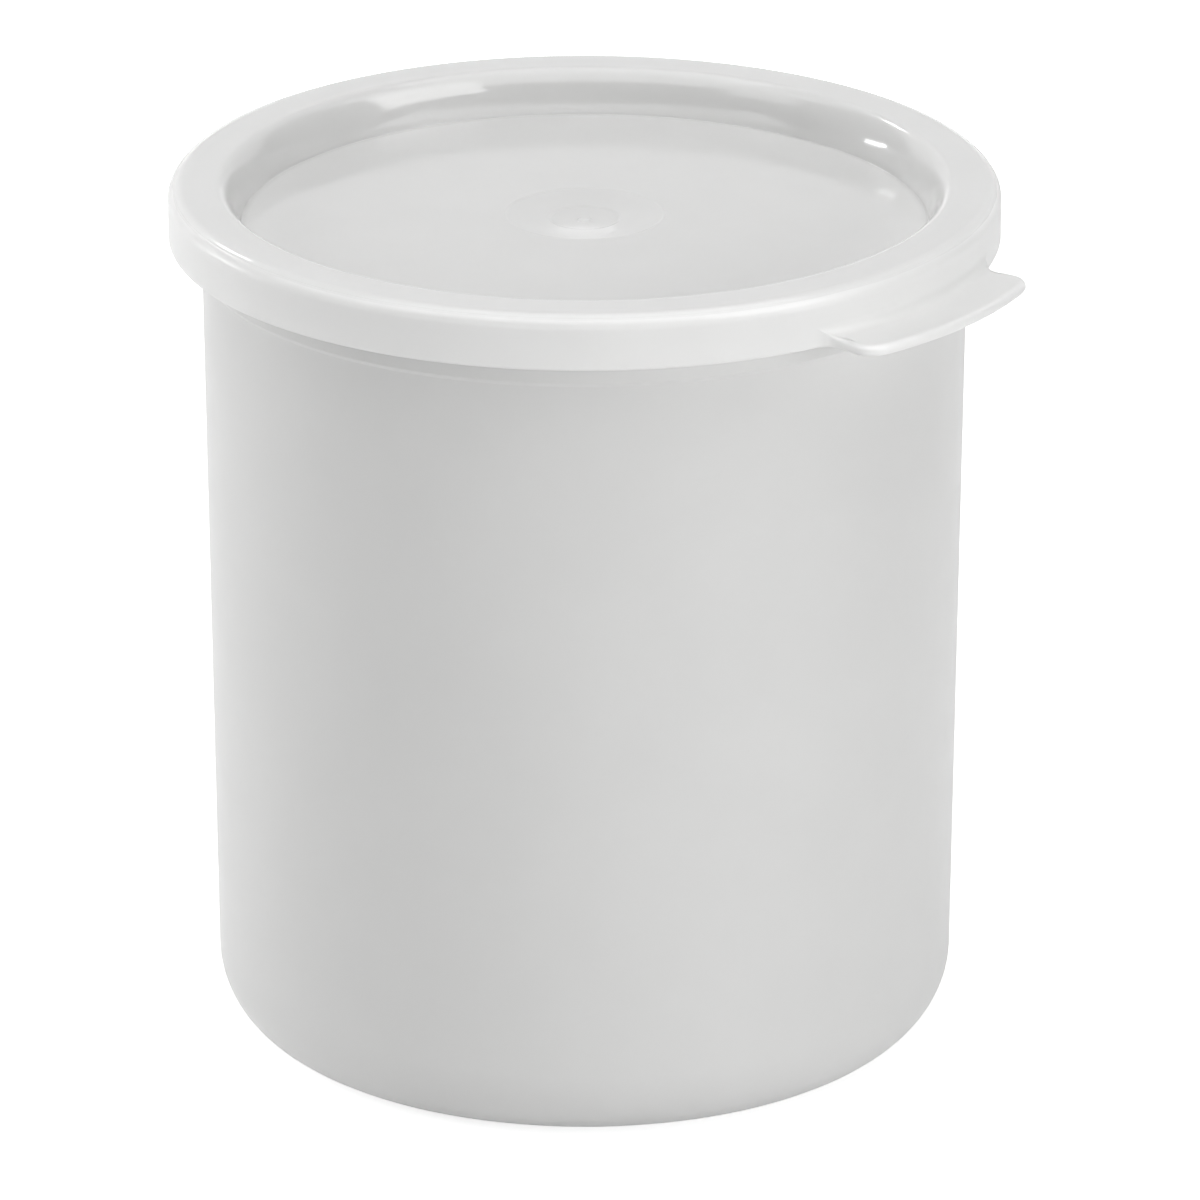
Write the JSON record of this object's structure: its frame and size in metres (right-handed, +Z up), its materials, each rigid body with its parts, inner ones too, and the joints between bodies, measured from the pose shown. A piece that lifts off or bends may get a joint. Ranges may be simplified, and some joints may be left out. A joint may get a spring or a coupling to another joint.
{
  "type": "salad bar crock",
  "caption": "Straight-sided round food crock with a rounded base and a translucent lid with a pull tab that snaps over the lip; holds chilled food on a salad bar.",
  "frame": {"origin": "centre of the crock's flat base, on the standing surface", "axes": "+Z up along the crock's axis, +X towards the lid's pull tab"},
  "size_m": [0.1729, 0.1622, 0.1744],
  "materials": {
    "crock_plastic": "satin",
    "lid_plastic": "satin"
  },
  "bodies": {
    "crock_body": {"crock": "crock_plastic"},
    "lid_body": {"lid": "lid_plastic"}
  },
  "joints": [
    {"name": "lid_lift", "type": "slide", "parent": "crock_body", "child": "lid_body", "axis": [0, 0, 1], "range_m": [0, 0.12]}
  ]
}
